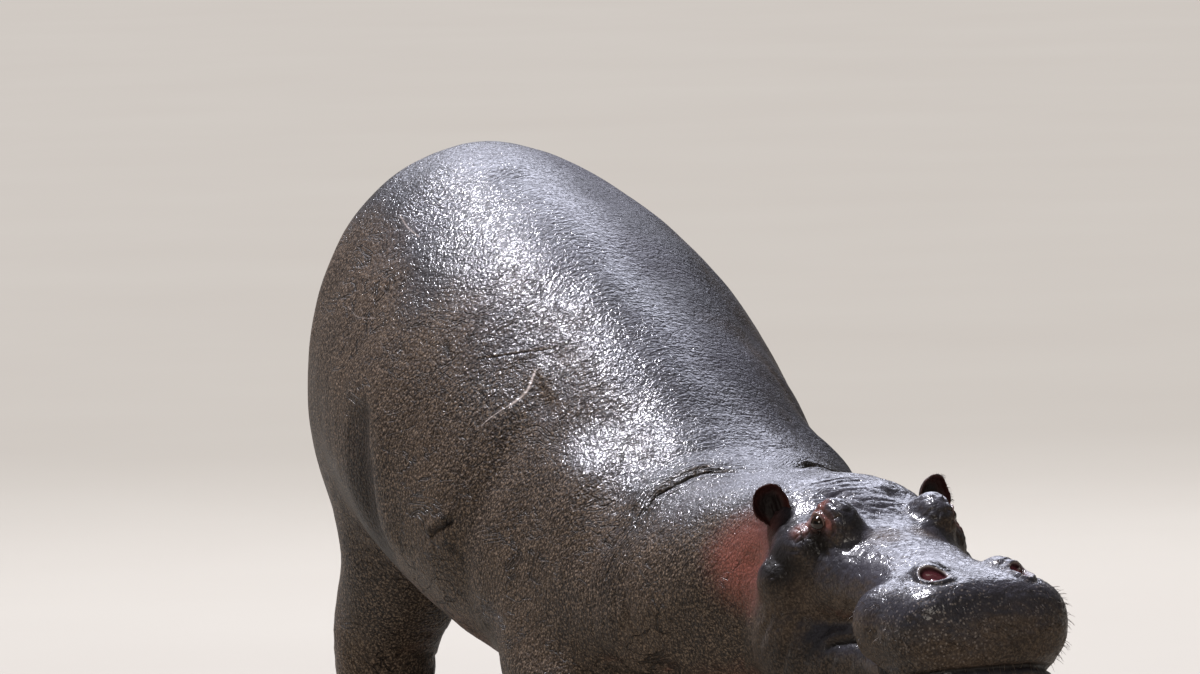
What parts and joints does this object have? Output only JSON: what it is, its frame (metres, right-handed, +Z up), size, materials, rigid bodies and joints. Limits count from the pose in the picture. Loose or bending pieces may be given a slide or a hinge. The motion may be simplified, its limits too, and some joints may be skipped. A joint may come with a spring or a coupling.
{
  "type": "hippopotamus",
  "caption": "Life-size common hippopotamus as a still model, hindquarters high, forequarters lowered and head held low and level, standing on flat feet.",
  "frame": {"origin": "on the floor under the middle of the bounding box", "axes": "+X towards the nose, +Y to the animal's left, +Z up"},
  "size_m": [3.4518, 1.0904, 1.5213],
  "materials": {
    "skin": "wet, glossy, finely wrinkled bare hide, dark grey-brown and purplish",
    "ear": "damp bare skin, dark red-brown inside the cup",
    "eye": "wet, high gloss, very dark brown",
    "hoof": "horn, satin"
  },
  "bodies": {
    "root": {"head": "skin", "neck": "skin", "trunk": "skin", "leg_front_left": "skin", "leg_front_right": "skin", "leg_hind_left": "skin", "leg_hind_right": "skin", "tail": "skin", "ear_left": "ear", "ear_right": "ear", "eye_left": "eye", "eye_right": "eye", "hoof_front_left_1": "hoof", "hoof_front_left_2": "hoof", "hoof_front_left_3": "hoof", "hoof_front_left_4": "hoof", "hoof_front_right_1": "hoof", "hoof_front_right_2": "hoof", "hoof_front_right_3": "hoof", "hoof_front_right_4": "hoof", "hoof_hind_left_1": "hoof", "hoof_hind_left_2": "hoof", "hoof_hind_left_3": "hoof", "hoof_hind_left_4": "hoof", "hoof_hind_right_1": "hoof", "hoof_hind_right_2": "hoof", "hoof_hind_right_3": "hoof", "hoof_hind_right_4": "hoof"}
  },
  "joints": []
}
